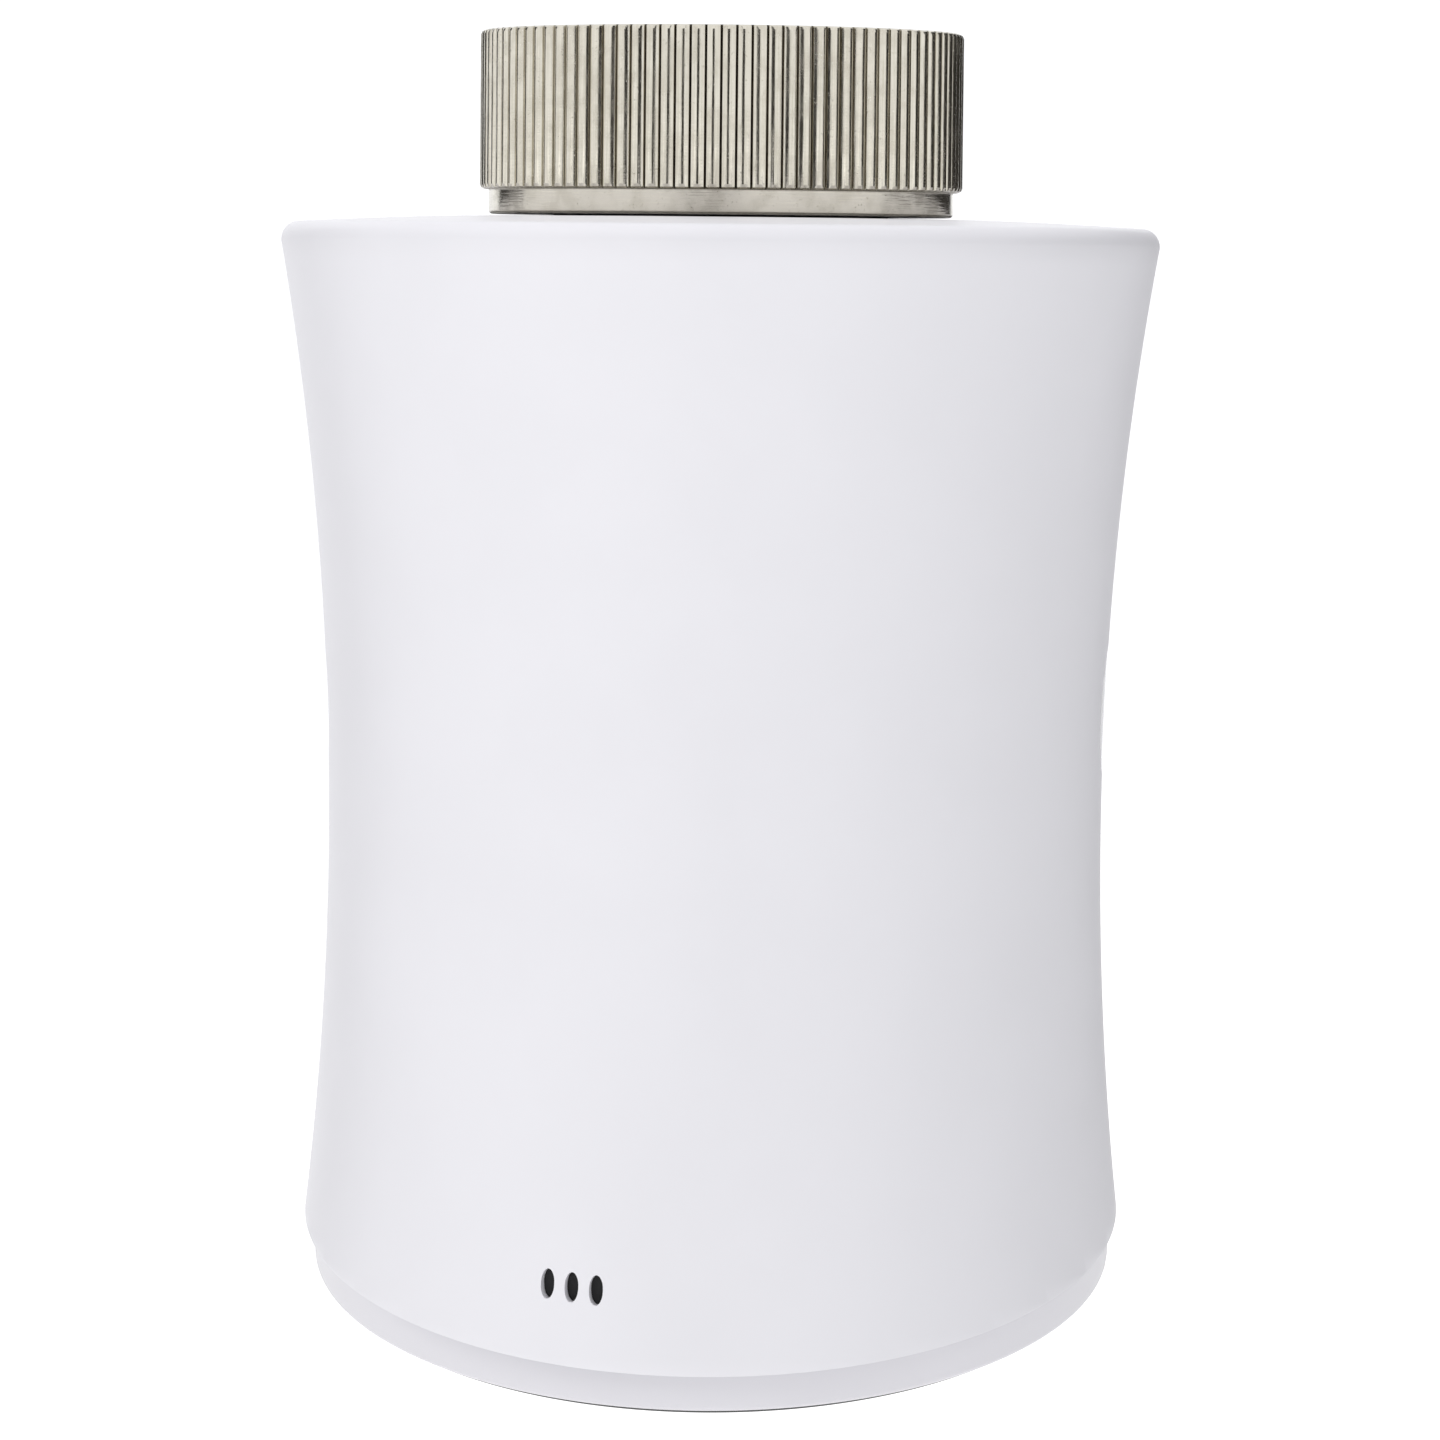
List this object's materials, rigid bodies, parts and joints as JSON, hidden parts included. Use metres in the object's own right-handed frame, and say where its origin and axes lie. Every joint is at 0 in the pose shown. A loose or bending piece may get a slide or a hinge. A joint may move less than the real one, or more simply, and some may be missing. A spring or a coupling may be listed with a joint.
{
  "type": "radiator thermostat head",
  "caption": "Motor-driven radiator thermostat head: knurled union nut, waisted white sleeve and a slanted round display with a setting ring.",
  "frame": {"origin": "centre of the valve seat plane inside the union nut, on the axis of the body", "axes": "+Z along the body towards the valve, -Y to the low side of the slanted display end, X across"},
  "size_m": [0.0618, 0.0618, 0.0936],
  "materials": {
    "white_plastic": "fine satin moulded",
    "pad_plastic": "smooth satin",
    "grey_plastic": "moulded",
    "dark_plastic": "moulded",
    "gear_plastic": "acetal",
    "nickel": "bright nickel plate",
    "contact_metal": "nickel strip",
    "steel": "bright",
    "brass": "machined",
    "black_glass": "polished black",
    "diffuser": "milky",
    "circuit_board": "solder mask",
    "chip_black": "moulded",
    "cell_jacket": "printed film",
    "wire_red": "insulation",
    "wire_black": "insulation"
  },
  "bodies": {
    "body": {"outer_sleeve": "white_plastic", "valve_neck": "dark_plastic", "neck_flange": "grey_plastic", "nut_snap_ring": "steel", "neck_screw_1": "steel", "neck_screw_2": "steel", "neck_screw_3": "steel", "gearbox_housing": "grey_plastic", "gearbox_lid": "grey_plastic", "gearbox_screw_1": "steel", "gearbox_screw_2": "steel", "gearbox_screw_3": "steel", "gear_1_axle": "steel", "gear_2_axle": "steel", "motor": "steel", "motor_board": "circuit_board", "contact_socket": "dark_plastic", "motor_lead_1": "wire_red", "motor_lead_2": "wire_black", "button_spring_left": "steel", "button_spring_right": "steel"},
    "union_nut": {"union_nut": "nickel"},
    "drive_gear": {"drive_gear": "gear_plastic"},
    "gear_2": {"gear_2": "gear_plastic"},
    "gear_1": {"gear_1": "gear_plastic"},
    "rotor": {"motor_shaft": "steel", "motor_pinion": "brass"},
    "pusher": {"pusher": "steel"},
    "front_module": {"front_cap": "white_plastic", "display_lens": "black_glass", "light_guide": "diffuser", "led_matrix": "chip_black", "display_board": "circuit_board", "temperature_sensor": "chip_black", "main_board": "circuit_board", "radio_module": "steel", "processor": "chip_black", "contact_plug": "dark_plastic", "battery_tray": "grey_plastic", "battery_left": "cell_jacket", "battery_right": "cell_jacket", "battery_bridge": "contact_metal", "battery_spring": "contact_metal", "battery_contact": "contact_metal", "tray_screw_1": "steel", "tray_screw_2": "steel"},
    "dial_ring": {"dial_ring": "white_plastic"},
    "release_button_left": {"release_button_left": "pad_plastic"},
    "release_button_right": {"release_button_right": "pad_plastic"}
  },
  "joints": [
    {"name": "nut_spin", "type": "hinge", "parent": "body", "child": "union_nut", "pos_m": [0, 0, 0.0025], "axis": [0, 0, 1], "continuous": true},
    {"name": "drive_spin", "type": "hinge", "parent": "body", "child": "drive_gear", "pos_m": [0, 0, -0.0358], "axis": [0, 0, 1], "range_deg": [0, 721.36]},
    {"name": "gear_2_spin", "type": "hinge", "parent": "body", "child": "gear_2", "pos_m": [-0.00813, 0.00813, -0.033], "axis": [0, 0, 1], "range_deg": [-2042.02, 0]},
    {"name": "gear_1_spin", "type": "hinge", "parent": "body", "child": "gear_1", "pos_m": [-0.00125, 0.01295, -0.03], "axis": [0, 0, 1], "range_deg": [0, 6532.26]},
    {"name": "rotor_spin", "type": "hinge", "parent": "body", "child": "rotor", "pos_m": [0.00702, 0.01596, -0.028], "axis": [0, 0, 1], "range_deg": [-22207.3, 0]},
    {"name": "pusher_slide", "type": "slide", "parent": "body", "child": "pusher", "axis": [0, 0, 1], "range_m": [0, 0.005]},
    {"name": "front_slide", "type": "slide", "parent": "body", "child": "front_module", "axis": [0, 0, -1], "range_m": [0, 0.065]},
    {"name": "dial_spin", "type": "hinge", "parent": "front_module", "child": "dial_ring", "pos_m": [0, 0, -0.0744], "axis": [0, 0.2588, -0.9659], "continuous": true},
    {"name": "button_left_press", "type": "slide", "parent": "body", "child": "release_button_left", "axis": [1, 0, 0], "range_m": [0, 0.0012], "stiffness_N_per_m": 500, "springref_m": -0.002, "deforming": ["button_spring_left"]},
    {"name": "button_right_press", "type": "slide", "parent": "body", "child": "release_button_right", "axis": [-1, 0, 0], "range_m": [0, 0.0012], "stiffness_N_per_m": 500, "springref_m": -0.002, "deforming": ["button_spring_right"]}
  ],
  "couplings": [
    {"joint": "drive_spin", "follows": "pusher_slide", "rad_per_m": 2513.3},
    {"joint": "gear_2_spin", "follows": "pusher_slide", "rad_per_m": -7120.9},
    {"joint": "gear_1_spin", "follows": "pusher_slide", "rad_per_m": 22787},
    {"joint": "rotor_spin", "follows": "pusher_slide", "rad_per_m": -77476}
  ]
}
